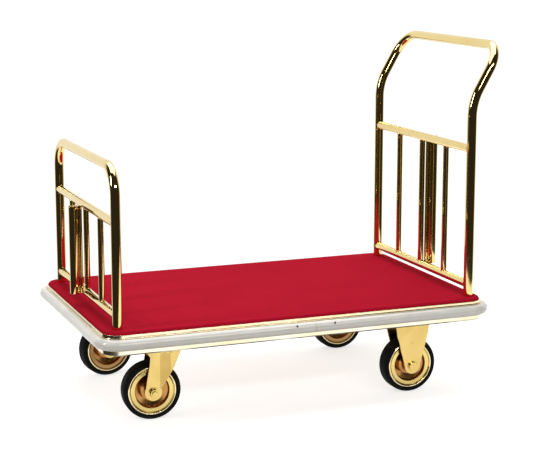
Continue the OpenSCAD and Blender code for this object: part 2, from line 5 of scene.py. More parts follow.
import bmesh
import bpy
import numpy as np
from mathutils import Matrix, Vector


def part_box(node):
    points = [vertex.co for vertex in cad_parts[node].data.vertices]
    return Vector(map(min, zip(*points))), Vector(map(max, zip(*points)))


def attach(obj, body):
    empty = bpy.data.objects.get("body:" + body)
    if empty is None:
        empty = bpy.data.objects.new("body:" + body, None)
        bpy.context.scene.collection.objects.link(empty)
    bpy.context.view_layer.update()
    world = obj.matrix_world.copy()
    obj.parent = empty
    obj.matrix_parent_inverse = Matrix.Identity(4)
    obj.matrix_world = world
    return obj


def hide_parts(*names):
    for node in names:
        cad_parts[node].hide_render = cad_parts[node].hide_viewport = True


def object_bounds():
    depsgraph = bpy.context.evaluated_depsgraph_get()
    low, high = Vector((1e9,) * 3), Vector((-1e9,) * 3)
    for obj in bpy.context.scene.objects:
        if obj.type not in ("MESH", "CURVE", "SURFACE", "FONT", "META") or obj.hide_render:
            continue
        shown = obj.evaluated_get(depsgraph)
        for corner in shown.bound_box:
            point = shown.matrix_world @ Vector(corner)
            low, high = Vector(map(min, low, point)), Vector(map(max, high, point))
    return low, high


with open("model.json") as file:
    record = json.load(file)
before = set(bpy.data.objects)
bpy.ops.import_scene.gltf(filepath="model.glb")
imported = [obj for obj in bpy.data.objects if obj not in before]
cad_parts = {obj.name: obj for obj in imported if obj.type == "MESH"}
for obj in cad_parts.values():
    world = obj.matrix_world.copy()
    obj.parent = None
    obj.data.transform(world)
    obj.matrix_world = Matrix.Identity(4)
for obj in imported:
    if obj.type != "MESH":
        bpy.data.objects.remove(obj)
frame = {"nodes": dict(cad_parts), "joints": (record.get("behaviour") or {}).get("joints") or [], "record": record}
CAD_BOX = [list(corner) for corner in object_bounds()]
MM = 0.001
BODIES = frame["record"]["behaviour"]["bodies"]
JOINTS = {joint["name"]: joint for joint in frame["joints"]}


def box_corners(node):
    """The low and the high corner of a node's box."""
    return tuple(np.array(corner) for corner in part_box(node))


def box_middle(node):
    """The middle of a node's box."""
    low, high = box_corners(node)
    return (low + high) / 2


# ---------------------------------------------------------------- camera and studio

CAMERA_PLACE = (-1.4871, -3.8011, 1.2084)
CAMERA_TURN = 21.494
CAMERA_DROP = 10.764
CAMERA_LENS = 101.98
FLOOR_R = 1.45
FLOOR_MIDDLE = (0.35, -0.15)


def make_camera():
    """A long lens, standing in front of the cart's low end and a little above it."""
    data = bpy.data.cameras.new("camera")
    data.sensor_width = 36
    data.lens = CAMERA_LENS
    data.clip_end = 60
    camera = bpy.data.objects.new("camera", data)
    camera.location = CAMERA_PLACE
    camera.rotation_euler = (math.radians(90 - CAMERA_DROP), 0, math.radians(-CAMERA_TURN))
    bpy.context.scene.collection.objects.link(camera)
    bpy.context.scene.camera = camera


def softbox(name, place, aim, width, height, power):
    """A flat soft light of this width and height at place, facing aim."""
    data = bpy.data.lights.new(name, "AREA")
    data.shape = "RECTANGLE"
    data.size = width
    data.size_y = height
    data.energy = power
    light = bpy.data.objects.new(name, data)
    light.location = place
    toward = np.subtract(aim, place)
    flat = math.hypot(toward[0], toward[1])
    light.rotation_euler = (
        math.atan2(flat, -toward[2]), 0, math.atan2(toward[1], toward[0]) - math.pi / 2
    )
    bpy.context.scene.collection.objects.link(light)


def make_world():
    """A white studio behind the cart and at its sides, and a dim room in front of it."""
    world = bpy.data.worlds.new("studio")
    bpy.context.scene.world = world
    world.use_nodes = True
    tree = world.node_tree
    tree.nodes.clear()
    place = tree.nodes.new("ShaderNodeTexCoord")
    facing = tree.nodes.new("ShaderNodeVectorMath")
    facing.operation = "DOT_PRODUCT"
    turn = math.radians(CAMERA_TURN)
    facing.inputs[1].default_value = (math.sin(turn), math.cos(turn), 0.0)
    tree.links.new(place.outputs["Generated"], facing.inputs[0])
    step = tree.nodes.new("ShaderNodeMapRange")
    step.interpolation_type = "SMOOTHSTEP"
    step.inputs["From Min"].default_value = 0.28
    step.inputs["From Max"].default_value = 0.62
    tree.links.new(facing.outputs["Value"], step.inputs["Value"])
    shade = tree.nodes.new("ShaderNodeMix")
    shade.data_type = "RGBA"
    shade.inputs[6].default_value = (0.030, 0.025, 0.021, 1)
    shade.inputs[7].default_value = (1.05, 1.04, 1.02, 1)
    tree.links.new(step.outputs["Result"], shade.inputs[0])
    room = tree.nodes.new("ShaderNodeBackground")
    tree.links.new(shade.outputs[2], room.inputs["Color"])
    white = tree.nodes.new("ShaderNodeBackground")
    white.inputs["Color"].default_value = (1, 1, 1, 1)
    white.inputs["Strength"].default_value = 1.1
    path = tree.nodes.new("ShaderNodeLightPath")
    pick = tree.nodes.new("ShaderNodeMixShader")
    tree.links.new(path.outputs["Is Camera Ray"], pick.inputs[0])
    tree.links.new(room.outputs[0], pick.inputs[1])
    tree.links.new(white.outputs[0], pick.inputs[2])
    out = tree.nodes.new("ShaderNodeOutputWorld")
    tree.links.new(pick.outputs[0], out.inputs["Surface"])


def make_floor():
    """A round pale floor under the cart."""
    around = np.linspace(0, 2 * np.pi, 97)[:-1]
    rim = FLOOR_R * np.stack([np.cos(around), np.sin(around), 0 * around], 1)
    rim[:, :2] += FLOOR_MIDDLE
    rim[:, 2] = CAD_BOX[0][2]
    data = bpy.data.meshes.new("floor")
    data.from_pydata(rim.tolist(), [], [list(range(len(rim)))])
    floor = bpy.data.objects.new("floor", data)
    bpy.context.scene.collection.objects.link(floor)
    paint = bpy.data.materials.new("floor_paint")
    paint.use_nodes = True
    shader = paint.node_tree.nodes["Principled BSDF"]
    shader.inputs["Base Color"].default_value = (0.58, 0.58, 0.58, 1)
    shader.inputs["Roughness"].default_value = 0.9
    shader.inputs["Emission Color"].default_value = (1, 1, 1, 1)
    shader.inputs["Emission Strength"].default_value = 0.72
    data.materials.append(paint)


make_camera()
make_world()
make_floor()
softbox("top_light", (0.1, 0.5, 3.2), (0, 0, 0.3), 3.4, 2.8, 88)
softbox("front_light", (0.2, -4.0, 2.7), (0, 0, 0.3), 3.4, 0.45, 70)
softbox("side_light", (-3.6, -0.4, 2.2), (0, 0, 0.3), 0.5, 1.6, 48)
bpy.context.scene.view_settings.view_transform = "Standard"


# ---------------------------------------------------------------- finishes

TRIM_LOW, TRIM_HIGH = box_corners("deck_trim")
SKIRT_LOW, SKIRT_HIGH = box_corners("frame_skirt")
BUMPER_LOW, BUMPER_HIGH = box_corners("bumper")
BUMPER_R = (BUMPER_HIGH - BUMPER_LOW)[2] / 2
BUMPER_Z = (BUMPER_HIGH + BUMPER_LOW)[2] / 2


class Finish:
    """A material with its shader, and short ways to add the nodes that vary it."""

    def __init__(self, name, **sockets):
        self.material = bpy.data.materials.new(name)
        self.material.use_nodes = True
        self.tree = self.material.node_tree
        self.shader = self.tree.nodes["Principled BSDF"]
        for socket, value in sockets.items():
            self.shader.inputs[socket.replace("_", " ")].default_value = value

    def add(self, kind, **inputs):
        """A new node, with values or other nodes' sockets for its named inputs."""
        node = self.tree.nodes.new(kind)
        for socket, value in inputs.items():
            self.put(value, node.inputs[socket.replace("_", " ")])
        return node

    def put(self, value, socket):
        """Links a socket, or sets a plain value."""
        if isinstance(value, bpy.types.NodeSocket):
            self.tree.links.new(value, socket)
        else:
            socket.default_value = value

    def place(self, stretch=(1, 1, 1), source="Object"):
        """Coordinates of the piece, stretched along its axes."""
        coordinates = self.add("ShaderNodeTexCoord").outputs[source]
        return self.add("ShaderNodeMapping", Vector=coordinates, Scale=stretch).outputs[0]

    def noise(self, scale, detail=3.0, stretch=(1, 1, 1), source="Object", distortion=0.0):
        return self.add(
            "ShaderNodeTexNoise", Vector=self.place(stretch, source), Scale=scale,
            Detail=detail, Distortion=distortion,
        ).outputs["Fac"]

    def cells(self, scale, stretch=(1, 1, 1), out="Distance"):
        return self.add(
            "ShaderNodeTexVoronoi", Vector=self.place(stretch), Scale=scale
        ).outputs[out]

    def height(self):
        """The Z of each point of the piece, in metres."""
        place = self.add("ShaderNodeTexCoord").outputs["Object"]
        return self.add("ShaderNodeSeparateXYZ", Vector=place).outputs["Z"]

    def given(self, attribute):
        """A number that the piece itself carries, which is 0 on pieces without it."""
        node = self.add("ShaderNodeAttribute")
        node.attribute_name = attribute
        return node.outputs["Fac"]

    def span(self, value, low, high, start=0.3, end=0.7):
        """Carries a value's run from start to end onto low to high."""
        return self.add(
            "ShaderNodeMapRange",
            Value=value, From_Min=start, From_Max=end, To_Min=low, To_Max=high,
        ).outputs[0]

    def mix(self, factor, first, second):
        node = self.tree.nodes.new("ShaderNodeMix")
        node.data_type = "RGBA"
        self.put(factor, node.inputs[0])
        self.put(first, node.inputs[6])
        self.put(second, node.inputs[7])
        return node.outputs[2]

    def sum(self, first, second, weight=1.0):
        """first + weight * second."""
        node = self.tree.nodes.new("ShaderNodeMath")
        node.operation = "MULTIPLY_ADD"
        self.put(second, node.inputs[0])
        self.put(weight, node.inputs[1])
        self.put(first, node.inputs[2])
        return node.outputs[0]

    def product(self, first, second):
        return self.sum(0.0, first, second)

    def wear(self, colour=None, roughness=None, height=None, depth=0.0, strength=1.0):
        """Sets what varies: the colour, the roughness, and a bump of the given depth."""
        if colour is not None:
            self.put(colour, self.shader.inputs["Base Color"])
        if roughness is not None:
            self.put(roughness, self.shader.inputs["Roughness"])
        if height is not None:
            bump = self.add("ShaderNodeBump", Height=height, Distance=depth, Strength=strength)
            self.put(bump.outputs[0], self.shader.inputs["Normal"])
        return self.material


def polished_brass():
    """Lacquered tube: deep gold, nearly a mirror, with faint drawing waves and wiped haze."""
    f = Finish("polished_brass", Metallic=1.0, Coat_Weight=0.3, Coat_Roughness=0.04)
    tone = f.span(f.noise(5.0, 4.0), 0.0, 1.0)
    colour = f.mix(tone, (0.80, 0.635, 0.265, 1), (0.73, 0.545, 0.195, 1))
    haze = f.span(f.noise(22.0, 5.0), 0.035, 0.085)
    return f.wear(colour, haze, f.noise(17.0, 1.5), 0.00016, 0.3)


def sheet_brass():
    """Pressed and buffed sheet: pale gold, with painted shade on the panels between folds,
    which are mixed browner, and fine buffing lines along its length."""
    f = Finish("sheet_brass", Metallic=1.0, Coat_Weight=0.15, Coat_Roughness=0.1)
    tone = f.span(f.noise(13.0, 5.0), 0.0, 1.0)
    gold = f.mix(tone, (0.71, 0.525, 0.180, 1), (0.64, 0.450, 0.138, 1))
    # painted shade: the fork's panels between folds are mixed to a browner gold
    panel = f.given("panel")
    colour = f.mix(panel, gold, f.mix(tone, (0.57, 0.395, 0.118, 1), (0.49, 0.325, 0.088, 1)))
    lines = f.noise(60.0, 5.0, (0.12, 0.12, 9.0))
    rough = f.sum(f.span(f.noise(30.0, 4.0), 0.12, 0.24), lines, 0.06)
    return f.wear(colour, rough, lines, 0.00006, 0.5)


def edging_brass(name, pale, deep, low, high):
    """Rolled edging: champagne gold, bright, with faint waves from the roll, and a broken
    dark line of painted shade along it between two heights."""
    f = Finish(name, Metallic=1.0, Coat_Weight=0.35, Coat_Roughness=0.06)
    tone = f.span(f.noise(10.0, 5.0), 0.0, 1.0)
    over = f.span(f.height(), 0.0, 1.0, low - 0.0002, low + 0.0002)
    under = f.span(f.height(), 1.0, 0.0, high - 0.0002, high + 0.0002)
    broken = f.span(f.noise(9.0, 3.0, (1.0, 1.0, 0.1)), 0.45, 1.0, 0.40, 0.52)
    # painted shade: a dark line between the two heights, broken by noise
    line = f.product(f.product(over, under), broken)
    colour = f.mix(line, f.mix(tone, pale, deep), (0.060, 0.045, 0.025, 1))
    waves = f.noise(12.0, 3.0, (1.0, 1.0, 4.0))
    return f.wear(colour, f.span(f.noise(30.0, 4.0), 0.07, 0.16), waves, 0.0002, 0.3)


def turned_brass(name, pale, deep):
    """Spun wheel disc: gold outside, with painted shade in its dish, which is bronzed, and
    painted shade in its groove, broken by noise, a painted highlight on its paler lip,
    and rings left by the lathe that follow its own round."""
    f = Finish(name, Metallic=1.0, Coat_Weight=0.2, Coat_Roughness=0.06)
    tone = f.span(f.noise(14.0, 5.0), 0.0, 1.0)
    gold = f.mix(tone, pale, deep)
    # painted shade: the dish is mixed to a dark bronze
    painted_dish_shade = f.mix(tone, (0.50, 0.255, 0.075, 1), (0.36, 0.165, 0.045, 1))
    colour = f.mix(f.given("shaded_dish"), gold, painted_dish_shade)
    # painted shade in the rim's groove, broken by noise
    groove_shade = f.product(f.given("shaded_groove"), f.span(f.noise(14.0, 2.0), 0.1, 0.9, 0.42, 0.58))
    colour = f.mix(groove_shade, colour, (0.16, 0.085, 0.030, 1))
    # painted highlight: the rim's lip is mixed to a pale gold
    colour = f.mix(f.given("lip"), colour, (0.92, 0.80, 0.47, 1))
    rings = f.noise(1.0, 4.0, (1.5, 900.0, 1.0), "UV")
    rough = f.sum(f.span(f.noise(40.0, 5.0), 0.08, 0.17), rings, 0.07)
    return f.wear(colour, rough, rings, 0.00005, 0.6)


def red_carpet():
    """Short cut pile: tufts two or three millimetres apart, with painted shade between them,
    and broad shades where the pile has been brushed over."""
    f = Finish(
        "red_carpet", Roughness=0.96, Sheen_Weight=0.03, Sheen_Roughness=0.5,
        Sheen_Tint=(1.0, 0.12, 0.18, 1), Specular_IOR_Level=0.015,
    )
    tufts = f.cells(420.0)
    fibres = f.noise(1500.0, 3.0)
    broad = f.span(f.noise(5.0, 5.0, distortion=0.6), 0.0, 1.0)
    red = f.mix(broad, (0.455, 0.0078, 0.0265, 1), (0.420, 0.0066, 0.023, 1))
    # painted shade between the tufts
    tuft_gap_shade = f.span(tufts, 0.0, 0.55, 0.35, 0.85)
    colour = f.mix(tuft_gap_shade, red, (0.27, 0.004, 0.013, 1))
    pile = f.sum(f.span(tufts, 1.0, 0.0, 0.0, 0.8), fibres, 0.6)
    return f.wear(colour, None, pile, 0.0011, 0.55)


def grey_vinyl():
    """Extruded bumper: satin light grey, a little mottled, scuffed here and there, and
    darkened towards its underside with painted shade."""
    f = Finish("grey_vinyl", Specular_IOR_Level=0.7)
    mottle = f.span(f.noise(26.0, 3.0, distortion=0.3), 0.0, 1.0)
    grey = f.mix(mottle, (0.770, 0.750, 0.700, 1), (0.700, 0.680, 0.625, 1))
    scuffs = f.span(f.noise(24.0, 7.0, (0.5, 0.5, 2.0)), 0.0, 0.35, 0.64, 0.78)
    colour = f.mix(scuffs, grey, (0.36, 0.345, 0.31, 1))
    drawn = f.span(f.noise(60.0, 2.0, (0.02, 0.02, 7.0)), 0.0, 0.22, 0.5, 0.66)
    colour = f.mix(drawn, colour, (0.42, 0.40, 0.355, 1))
    # painted shade: darker from the middle of the bumper down to its underside
    underside_shade = f.span(f.height(), 0.85, 0.0, BUMPER_Z - 0.8 * BUMPER_R, BUMPER_Z + 0.35 * BUMPER_R)
    colour = f.mix(underside_shade, colour, (0.20, 0.185, 0.145, 1))
    rough = f.span(f.noise(60.0, 4.0), 0.13, 0.22)
    return f.wear(colour, rough, f.noise(300.0, 3.0), 0.00008, 0.4)


def black_rubber():
    """Moulded tyre: black, a little dusty, with a fine stipple."""
    f = Finish("black_rubber", Specular_IOR_Level=0.12)
    dust = f.span(f.noise(22.0, 6.0), 0.0, 0.5, 0.45, 0.85)
    colour = f.mix(dust, (0.0025, 0.0026, 0.0024, 1), (0.010, 0.010, 0.008, 1))
    rough = f.span(f.noise(45.0, 5.0), 0.66, 0.88)
    return f.wear(colour, rough, f.noise(700.0, 2.0), 0.00012, 0.5)


def zinc_steel():
    """Zinc plated steel under the deck: dull silver, in small flat crystals."""
    f = Finish("zinc_steel", Metallic=1.0)
    crystals = f.cells(85.0, out="Color")
    tone = f.span(crystals, 0.0, 1.0, 0.1, 0.9)
    colour = f.mix(tone, (0.52, 0.53, 0.55, 1), (0.40, 0.41, 0.43, 1))
    rough = f.span(f.noise(20.0, 5.0), 0.28, 0.48)
    return f.wear(colour, rough, f.noise(220.0, 3.0), 0.00008, 0.5)


def dark_steel():
    """Oiled screw head, nearly black."""
    f = Finish("dark_steel", Metallic=0.9)
    colour = f.mix(f.noise(90.0, 3.0), (0.055, 0.050, 0.045, 1), (0.03, 0.027, 0.025, 1))
    return f.wear(colour, f.span(f.noise(200.0, 3.0), 0.35, 0.6), f.noise(500.0), 0.0001, 0.4)


def plywood():
    """Plywood seen from below: rotary-cut veneer with its grain along the deck."""
    f = Finish("plywood", Specular_IOR_Level=0.35)
    grain = f.noise(14.0, 6.0, (0.45, 5.0, 5.0), distortion=1.2)
    pores = f.noise(240.0, 3.0, (0.05, 1.0, 1.0))
    colour = f.mix(f.span(grain, 0.0, 1.0), (0.56, 0.36, 0.175, 1), (0.37, 0.205, 0.085, 1))
    colour = f.mix(f.span(pores, 0.0, 0.45, 0.55, 0.72), colour, (0.20, 0.10, 0.045, 1))
    return f.wear(colour, f.span(grain, 0.5, 0.68), f.sum(grain, pores, 0.5), 0.0003, 0.5)


BRASS_TUBE = polished_brass()
BRASS_SHEET = sheet_brass()
# the trim's painted shade line sits at the step above its foot
BRASS_EDGE = edging_brass(
    "edging_brass", (0.90, 0.80, 0.56, 1), (0.86, 0.71, 0.40, 1),
    TRIM_LOW[2] + 2.2 * MM, TRIM_LOW[2] + 3.3 * MM,
)
# the skirt's painted shade line runs along its lower edge
BRASS_SKIRT = edging_brass(
    "skirt_brass", (0.86, 0.83, 0.71, 1), (0.80, 0.70, 0.44, 1),
    SKIRT_LOW[2] - MM, SKIRT_LOW[2] + 2.8 * MM,
)
BRASS_WHEEL = turned_brass("turned_brass", (0.74, 0.59, 0.220, 1), (0.66, 0.490, 0.155, 1))
# a darker copy of the wheel brass, painted shade for the far wheels under the deck
SHADED_WHEEL_BRASS = turned_brass("shaded_wheel_brass", (0.42, 0.26, 0.10, 1), (0.30, 0.165, 0.06, 1))
CARPET = red_carpet()
VINYL = grey_vinyl()
RUBBER = black_rubber()
ZINC = zinc_steel()
DARK_STEEL = dark_steel()
PLYWOOD = plywood()


# ---------------------------------------------------------------- making pieces


def body_of(node):
    """The body that a node belongs to."""
    return next(body for body, members in BODIES.items() if node in members)


def finish_piece(name, mesh, material, nodes, bevel=0.0, crease=35, segments=2):
    """Smooth faces with sharp creases, a rounded edge, a finish, and the body that it rides."""
    mesh.polygons.foreach_set("use_smooth", [True] * len(mesh.polygons))
    mesh.set_sharp_from_angle(angle=math.radians(crease))
    mesh.materials.clear()
    mesh.materials.append(material)
    piece = bpy.data.objects.new(name, mesh)
    bpy.context.scene.collection.objects.link(piece)
    if bevel:
        rounding = piece.modifiers.new("rounded_edges", "BEVEL")
        rounding.width = bevel
        rounding.segments = segments
        rounding.limit_method = "ANGLE"
        rounding.angle_limit = math.radians(crease)
        rounding.harden_normals = True
    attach(piece, body_of(nodes[0]))
    return piece


def mesh_from(name, points, faces, uv=None):
    """A mesh of these points and faces, with doubled points merged and faces outwards."""
    mesh = bpy.data.meshes.new(name)
    mesh.from_pydata(points.tolist(), [], faces)
    if uv is not None:
        corners = np.zeros(len(mesh.loops), int)
        mesh.loops.foreach_get("vertex_index", corners)
        layer = mesh.uv_layers.new(name="UVMap")
        layer.data.foreach_set("uv", uv[corners].astype(np.float32).ravel())
    shape = bmesh.new()
    shape.from_mesh(mesh)
    bmesh.ops.remove_doubles(shape, verts=shape.verts, dist=1e-7)
    bmesh.ops.recalc_face_normals(shape, faces=shape.faces)
    shape.to_mesh(mesh)
    shape.free()
    return mesh


def quads(rows, columns, around=False, along=False):
    """The quads of a grid of points, row by row; around joins the last column to the
    first, and along joins the last row to the first."""
    i = np.arange(rows if along else rows - 1)
    j = np.arange(columns if around else columns - 1)
    a, b = (x.ravel() for x in np.meshgrid(i, j, indexing="ij"))
    c, d = (a + 1) % rows, (b + 1) % columns
    return np.stack(
        [a * columns + b, a * columns + d, c * columns + d, c * columns + b], 1
    ).tolist()


def carried(centres, across, upward, outline, ring=False):
    """A closed outline carried along a path. Each point is the path's point, plus the
    outline's first number along `across` there, plus its second along `upward` there.
    A path that isn't a ring gets its two ends closed."""
    outline = np.asarray(outline, float)
    if outline.ndim == 2:
        outline = np.broadcast_to(outline, (len(centres),) + outline.shape)
    points = (
        centres[:, None]
        + outline[:, :, :1] * across[:, None]
        + outline[:, :, 1:] * upward[:, None]
    )
    rows, columns = points.shape[:2]
    faces = quads(rows, columns, around=True, along=ring)
    if not ring:
        faces.append(list(range(columns)))
        faces.append(list(range((rows - 1) * columns, rows * columns))[::-1])
    return points.reshape(-1, 3), faces


def circle(radius, sides=40):
    """Points of a circle, or of one circle per radius where several are given."""
    turn = np.linspace(0, 2 * np.pi, sides, endpoint=False)
    unit = np.stack([np.cos(turn), np.sin(turn)], 1)
    return np.multiply.outer(np.asarray(radius, float), unit)


def turned(profile, centre, axis, sides=128):
    """A profile of (radius, distance along the axis) turned round an axis: the point at
    angle t is radius cos t along one cross direction, radius sin t along the other, and
    its distance along the axis. The profile is a closed loop. UV holds the share of the
    turn and the length along the profile."""
    profile = np.asarray(profile, float)
    axis = np.asarray(axis, float) / np.linalg.norm(axis)
    helper = np.array([0, 0, 1.0]) if abs(axis[2]) < 0.9 else np.array([1.0, 0, 0])
    first = np.cross(axis, helper)
    first /= np.linalg.norm(first)
    second = np.cross(axis, first)
    turn = np.linspace(0, 2 * np.pi, sides, endpoint=False)
    spokes = np.outer(np.cos(turn), first) + np.outer(np.sin(turn), second)
    points = (
        np.asarray(centre, float)
        + profile[None, :, :1] * spokes[:, None]
        + profile[None, :, 1:] * axis
    )
    steps = np.linalg.norm(np.diff(profile, axis=0, prepend=profile[:1]), axis=1)
    share, length = np.meshgrid(turn / (2 * np.pi), np.cumsum(steps), indexing="ij")
    uv = np.stack([share.ravel(), length.ravel()], 1)
    faces = quads(sides, len(profile), around=True, along=True)
    return points.reshape(-1, 3), faces, uv


def arc(centre, radius, start, end, steps):
    """Points of an arc between two angles in degrees."""
    turn = np.radians(np.linspace(start, end, steps))
    return np.asarray(centre) + radius * np.stack([np.cos(turn), np.sin(turn)], 1)


def joined(parts):
    """Several (points, faces) as one."""
    points, faces, first = [], [], 0
    for some, listed in parts:
        points.append(some)
        faces += [[k + first for k in face] for face in listed]
        first += len(some)
    return np.concatenate(points), faces


def rounded_copy(node, material, bevel, crease=10):
    """The node's own shape, its triangles merged into faces and its edges rounded."""
    mesh = frame["nodes"][node].data.copy()
    shape = bmesh.new()
    shape.from_mesh(mesh)
    bmesh.ops.remove_doubles(shape, verts=shape.verts, dist=2e-6)
    bmesh.ops.dissolve_limit(
        shape, angle_limit=math.radians(0.4), verts=shape.verts, edges=shape.edges
    )
    shape.to_mesh(mesh)
    shape.free()
    piece = finish_piece(node + "_finish", mesh, material, [node], bevel, crease)
    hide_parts(node)
    return piece


def made(name, shape, material, *nodes, bevel=0.0, crease=35):
    """A piece from points, faces and perhaps UV, which stands for the nodes."""
    piece = finish_piece(name, mesh_from(name, *shape), material, nodes, bevel, crease)
    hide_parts(*nodes)
    return piece


# ---------------------------------------------------------------- sizes from the frame

BOARD_LOW, BOARD_HIGH = box_corners("deck_board")
DECK_MIDDLE = (BOARD_LOW + BOARD_HIGH) / 2
HALF_L, HALF_W = (BOARD_HIGH - BOARD_LOW)[:2] / 2
DECK_R = 45 * MM
CARPET_LOW, CARPET_HIGH = box_corners("carpet")
CARPET_ROLL = 8 * MM
TUBE_WALL = 1.5 * MM
HOOP_LOW, HOOP_HIGH = box_corners("hoop_low")
TUBE_R = (HOOP_HIGH - HOOP_LOW)[0] / 2
POST_Y = HOOP_HIGH[1] - TUBE_R
LOW_X = (HOOP_LOW + HOOP_HIGH)[0] / 2
HANDLE_LOW, HANDLE_HIGH = box_corners("hoop_handle")
HANDLE_X = HANDLE_LOW[0] + TUBE_R
HANDLE_LEAN = math.radians(30)
CORNER_R = 70 * MM
LEAN_R = 150 * MM


# ---------------------------------------------------------------- hoops, rails and tubes


def hoop_path(x, foot, top, run=0.0, lean=0.0):
    """Middle line of a hoop with its two cross directions, from the near foot over the
    top bar to the far foot. A side goes straight up, bends by `lean` with LEAN_R, goes
    straight along the leaning direction, and turns with CORNER_R into the top bar. The
    far half is the near half mirrored across the cart and walked back."""
    up = np.array([math.sin(lean), 0, math.cos(lean)])
    normal = np.array([math.cos(lean), 0, -math.sin(lean)])
    y_axis = np.array([0, 1.0, 0])
    reach = run / math.sin(lean) if lean else 0.0
    bend_z = top - reach * math.cos(lean)
    cut = LEAN_R * math.tan(lean / 2)
    centres, across, upward = [], [], []

    def walk(places, firsts, seconds):
        centres.append(places)
        across.append(np.broadcast_to(firsts, places.shape))
        upward.append(np.broadcast_to(seconds, places.shape))

    rise = np.linspace(foot, bend_z - cut if lean else top - CORNER_R, 40)[:-1]
    walk(np.stack([0 * rise, 0 * rise, rise], 1), [1.0, 0, 0], y_axis)
    if lean:
        f = np.linspace(0, lean, 17)
        zero = 0 * f
        walk(
            np.stack([LEAN_R * (1 - np.cos(f)), zero, bend_z - cut + LEAN_R * np.sin(f)], 1),
            np.stack([np.cos(f), zero, -np.sin(f)], 1), y_axis,
        )
        straight = np.linspace(cut, reach - CORNER_R, 8)[1:-1]
        walk(np.array([0, 0, bend_z]) + np.outer(straight, up), normal, y_axis)
    f = np.linspace(0, math.pi / 2, 25)
    start = np.array([0, CORNER_R, 0]) + (
        np.array([0, 0, bend_z]) + (reach - CORNER_R) * up if lean
        else np.array([0, 0, top - CORNER_R])
    )
    walk(
        start + CORNER_R * (np.outer(np.sin(f), up) - np.outer(np.cos(f), y_axis)),
        normal, np.outer(np.cos(f), y_axis) - np.outer(np.sin(f), up),
    )
    bar = np.linspace(CORNER_R, POST_Y, 14)[1:]
    crest = start + CORNER_R * up
    walk(np.array([crest[0], 0, crest[2]]) + np.outer(bar, y_axis), normal, -up)
    near, first, second = (np.concatenate(part) for part in (centres, across, upward))
    near = near + np.array([x, -POST_Y, 0])
    mirror = np.array([1, -1, 1])
    return (
        np.concatenate([near, near[-2::-1] * mirror]),
        np.concatenate([first, first[-2::-1]]),
        np.concatenate([second, second[-2::-1] * mirror]),
    )


def hollow_tube(path, radius, depth=25 * MM, lip=0.4 * MM, sides=48):
    """A round tube along a path, open at both ends: its wall is rounded at each mouth and
    goes back inside for `depth`, where it is closed out of sight."""
    centres, across, upward = path
    bore = radius - TUBE_WALL

    def mouth():
        """Rows from deep inside to the outer wall of an end, as shifts inwards and radii."""
        t = np.radians(np.linspace(0, 90, 5))
        inner = np.stack([lip * (1 - np.sin(t)), bore + lip - lip * np.cos(t)], 1)
        outer = np.stack([lip * (1 - np.cos(t)), radius - lip + lip * np.sin(t)], 1)
        return np.concatenate([[[depth, bore]], inner, outer])

    def rows_at(index, inward):
        """The rows of the end at this point of the path: middles, directions and radii."""
        rows = mouth()
        return (
            centres[index] + np.outer(rows[:, 0], inward),
            np.repeat(across[index][None], len(rows), 0),
            np.repeat(upward[index][None], len(rows), 0),
            rows[:, 1],
        )

    def unit(vector):
        return vector / np.linalg.norm(vector)

    first = rows_at(0, unit(centres[1] - centres[0]))
    last = rows_at(-1, unit(centres[-2] - centres[-1]))
    return carried(
        np.concatenate([first[0], centres[1:-1], last[0][::-1]]),
        np.concatenate([first[1], across[1:-1], last[1]]),
        np.concatenate([first[2], upward[1:-1], last[2]]),
        circle(np.concatenate([first[3], np.full(len(centres) - 2, radius), last[3][::-1]]), sides),
    )


def straight_path(start, end, steps=2):
    """Evenly spaced points of a straight tube, with its two cross directions."""
    start, end = np.asarray(start, float), np.asarray(end, float)
    centres = start + np.outer(np.linspace(0, 1, steps), end - start)
    way = (end - start) / np.linalg.norm(end - start)
    across = np.cross(way, [1.0, 0, 0])
    across /= np.linalg.norm(across)
    upward = np.cross(way, across)
    return centres, np.tile(across, (steps, 1)), np.tile(upward, (steps, 1))


def straight_tube(start, end, radius, sides=48):
    """A tube whose ends are hidden inside what it meets."""
    return carried(*straight_path(start, end, 12), circle(radius, sides))


def saddle_bead(centre, out, along, branch_r, host_r, bead_r=1.1 * MM):
    """The polished weld round the mouth of a branch tube on a host tube. At angle t its
    middle is branch_r cos t across the host, branch_r sin t along it, and the root of
    host_r² − (branch_r cos t)² out from the host's axis; a small circle follows it."""
    out, along = np.asarray(out, float), np.asarray(along, float)
    across = np.cross(along, out)
    t = np.linspace(0, 2 * np.pi, 48, endpoint=False)
    spoke = np.outer(np.cos(t), across) + np.outer(np.sin(t), along)
    height = np.sqrt(host_r**2 - (branch_r * np.cos(t)) ** 2)
    line = np.asarray(centre, float) + branch_r * spoke + np.outer(height, out)
    way = np.roll(line, -1, 0) - np.roll(line, 1, 0)
    way /= np.linalg.norm(way, axis=1)[:, None]
    first = spoke - way * np.sum(spoke * way, 1)[:, None]
    first /= np.linalg.norm(first, axis=1)[:, None]
    return carried(line, first, np.cross(way, first), circle(bead_r, 10), ring=True)


